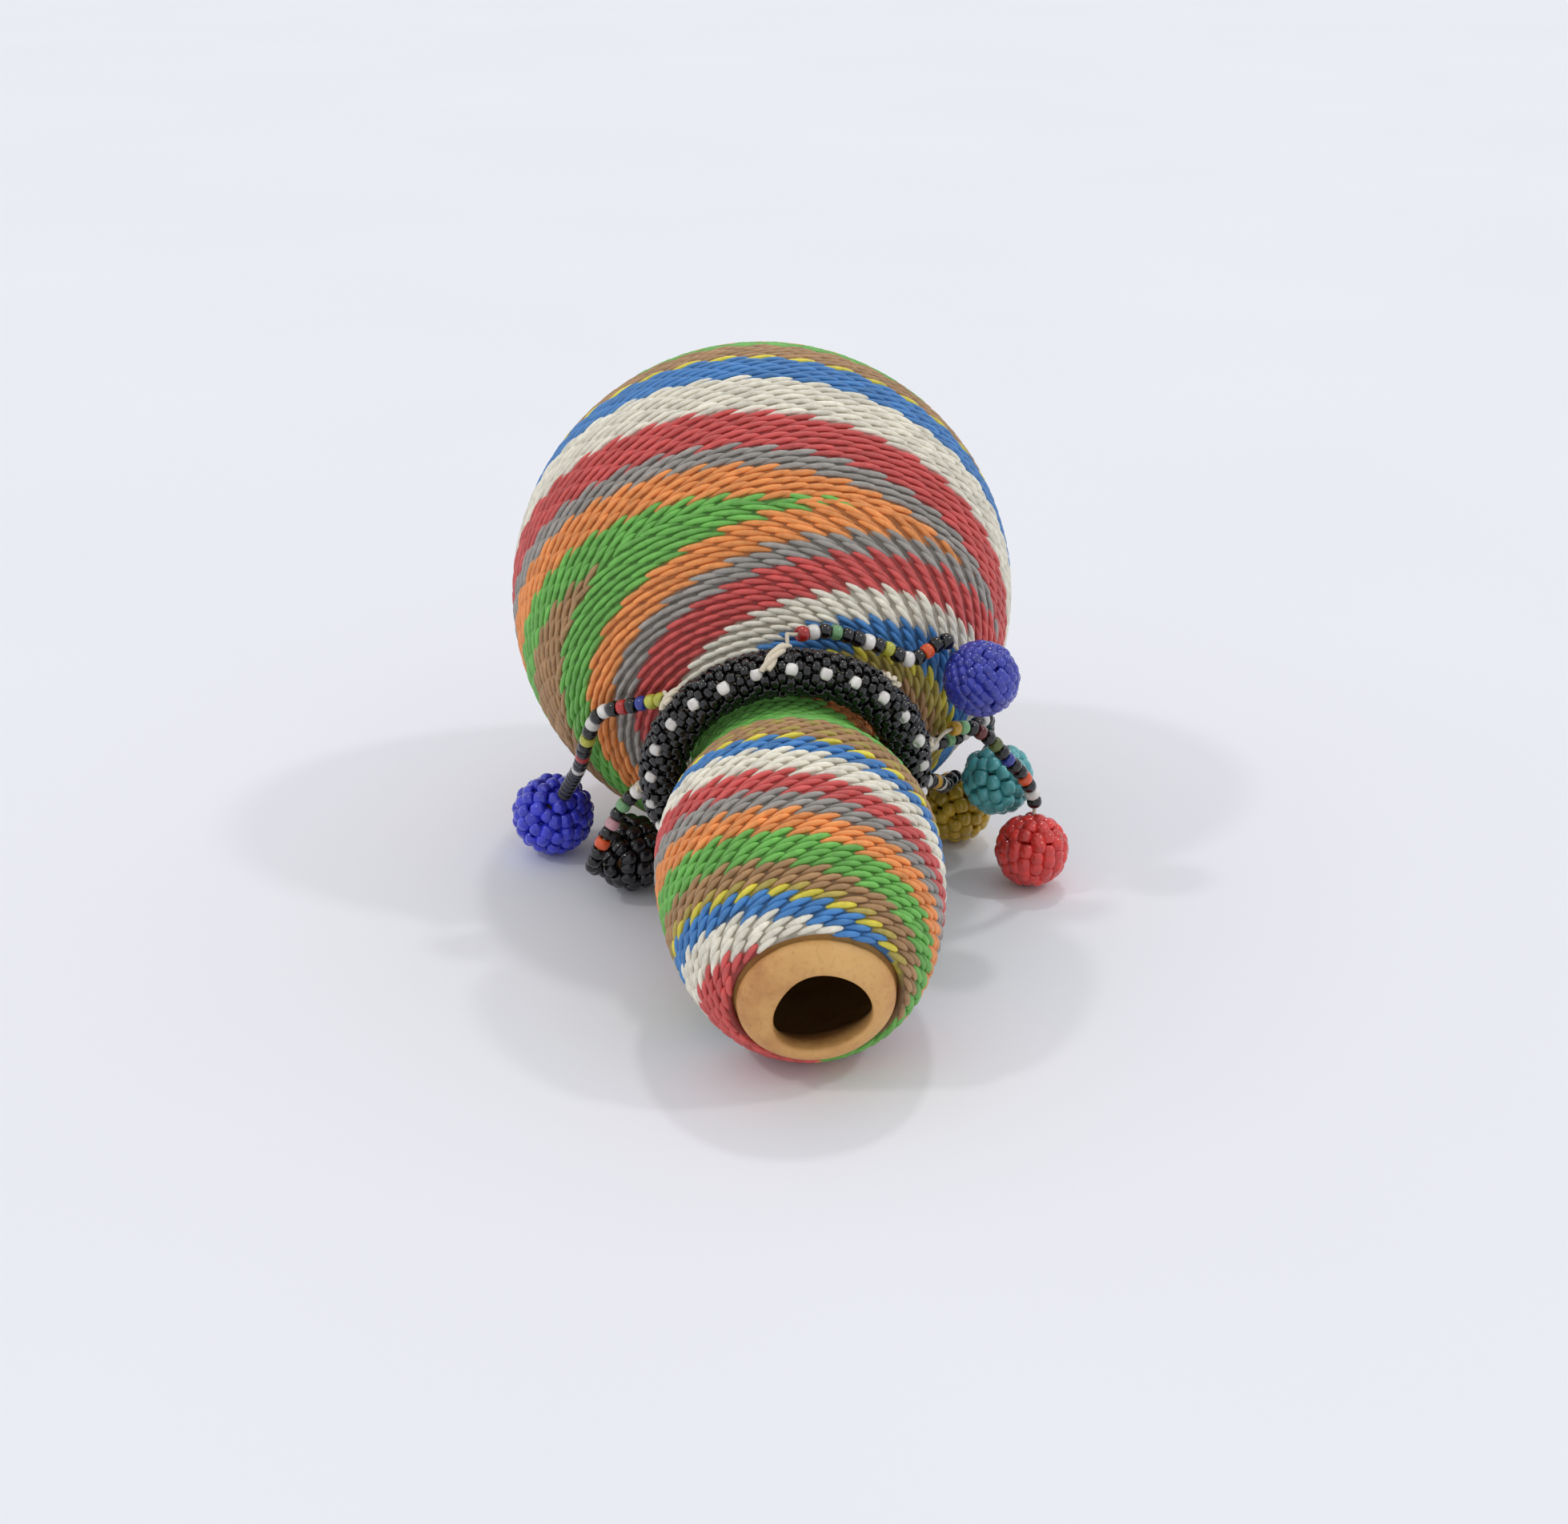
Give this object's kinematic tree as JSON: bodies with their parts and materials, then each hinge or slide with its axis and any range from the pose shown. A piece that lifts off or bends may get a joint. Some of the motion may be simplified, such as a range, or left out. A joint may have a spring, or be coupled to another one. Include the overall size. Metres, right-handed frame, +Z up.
{
  "type": "wire-woven gourd bottle",
  "caption": "Small double-bulbed gourd bottle covered in coiled coloured wire, with a beaded rope collar at its waist and bead strands that swing.",
  "frame": {"origin": "on the table, under the middle of the gourd's bounding box", "axes": "+Z up, -Y the way the mouth points, +X to the right when the mouth faces the viewer"},
  "size_m": [0.0754, 0.1155, 0.0689],
  "materials": {
    "gourd_skin": "dried gourd skin, smooth satin",
    "gourd_neck_skin": "dried gourd skin, smooth satin",
    "coil_wire": "plastic-coated wire",
    "bowl_wire": "plastic-coated wire in bands of colour",
    "shoulder_wire": "plastic-coated wire in bands of colour",
    "neck_wire": "plastic-coated wire in bands of colour",
    "collar_beads": "opaque glass seed beads",
    "collar_cord": "cotton cord",
    "knot_thread": "cotton thread",
    "tie_left_thread": "cotton thread",
    "tie_lower_left_thread": "cotton thread",
    "tie_top_thread": "cotton thread",
    "tie_upper_right_thread": "cotton thread",
    "tie_right_thread": "cotton thread",
    "blue_thread_cotton": "cotton thread",
    "blue_seed_beads": "opaque glass seed beads, mixed colours",
    "blue_ball_beads": "opaque glass seed beads",
    "blue_core_wood": "turned wood",
    "black_thread_cotton": "cotton thread",
    "black_seed_beads": "opaque glass seed beads, mixed colours",
    "black_ball_beads": "opaque glass seed beads",
    "black_core_wood": "turned wood",
    "purple_thread_cotton": "cotton thread",
    "purple_seed_beads": "opaque glass seed beads, mixed colours",
    "purple_ball_beads": "opaque glass seed beads",
    "purple_core_wood": "turned wood",
    "red_thread_cotton": "cotton thread",
    "red_seed_beads": "opaque glass seed beads, mixed colours",
    "red_ball_beads": "opaque glass seed beads",
    "red_core_wood": "turned wood",
    "teal_thread_cotton": "cotton thread",
    "teal_seed_beads": "opaque glass seed beads, mixed colours",
    "teal_ball_beads": "opaque glass seed beads",
    "teal_core_wood": "turned wood",
    "ochre_thread_cotton": "cotton thread",
    "ochre_seed_beads": "opaque glass seed beads, mixed colours",
    "ochre_ball_beads": "opaque glass seed beads",
    "ochre_core_wood": "turned wood"
  },
  "bodies": {
    "gourd": {"gourd_bowl": "gourd_skin", "gourd_neck": "gourd_neck_skin", "base_coil": "coil_wire", "bowl_weave": "bowl_wire", "shoulder_weave": "shoulder_wire", "neck_weave": "neck_wire", "collar_beadwork": "collar_beads", "collar_core": "collar_cord", "collar_knot": "knot_thread", "tie_left": "tie_left_thread", "tie_lower_left": "tie_lower_left_thread", "tie_top": "tie_top_thread", "tie_upper_right": "tie_upper_right_thread", "tie_right": "tie_right_thread"},
    "blue_dangle": {"blue_thread": "blue_thread_cotton", "blue_beads": "blue_seed_beads", "blue_ball": "blue_ball_beads", "blue_core": "blue_core_wood"},
    "black_dangle": {"black_thread": "black_thread_cotton", "black_beads": "black_seed_beads", "black_ball": "black_ball_beads", "black_core": "black_core_wood"},
    "purple_dangle": {"purple_thread": "purple_thread_cotton", "purple_beads": "purple_seed_beads", "purple_ball": "purple_ball_beads", "purple_core": "purple_core_wood"},
    "right_bunch": {"red_thread": "red_thread_cotton", "red_beads": "red_seed_beads", "red_ball": "red_ball_beads", "red_core": "red_core_wood", "teal_thread": "teal_thread_cotton", "teal_beads": "teal_seed_beads", "teal_ball": "teal_ball_beads", "teal_core": "teal_core_wood", "ochre_thread": "ochre_thread_cotton", "ochre_beads": "ochre_seed_beads", "ochre_ball": "ochre_ball_beads", "ochre_core": "ochre_core_wood"}
  },
  "joints": [
    {"name": "blue_swing", "type": "hinge", "parent": "gourd", "child": "blue_dangle", "pos_m": [-0.0151, -0.0128, 0.0343], "axis": [0, 0.7246, 0.6891], "range_deg": [0, 60]},
    {"name": "black_swing", "type": "hinge", "parent": "gourd", "child": "black_dangle", "pos_m": [-0.0178, -0.0091, 0.0205], "axis": [0, 0.8109, 0.5852], "range_deg": [0, 60]},
    {"name": "purple_swing", "type": "hinge", "parent": "gourd", "child": "purple_dangle", "pos_m": [0, -0.0157, 0.0426], "axis": [0.2563, -0.9666, 0], "range_deg": [0, 60]},
    {"name": "right_bunch_swing", "type": "hinge", "parent": "gourd", "child": "right_bunch", "pos_m": [0.0184, -0.0099, 0.0222], "axis": [0, -0.6804, -0.7329], "range_deg": [0, 25]}
  ]
}
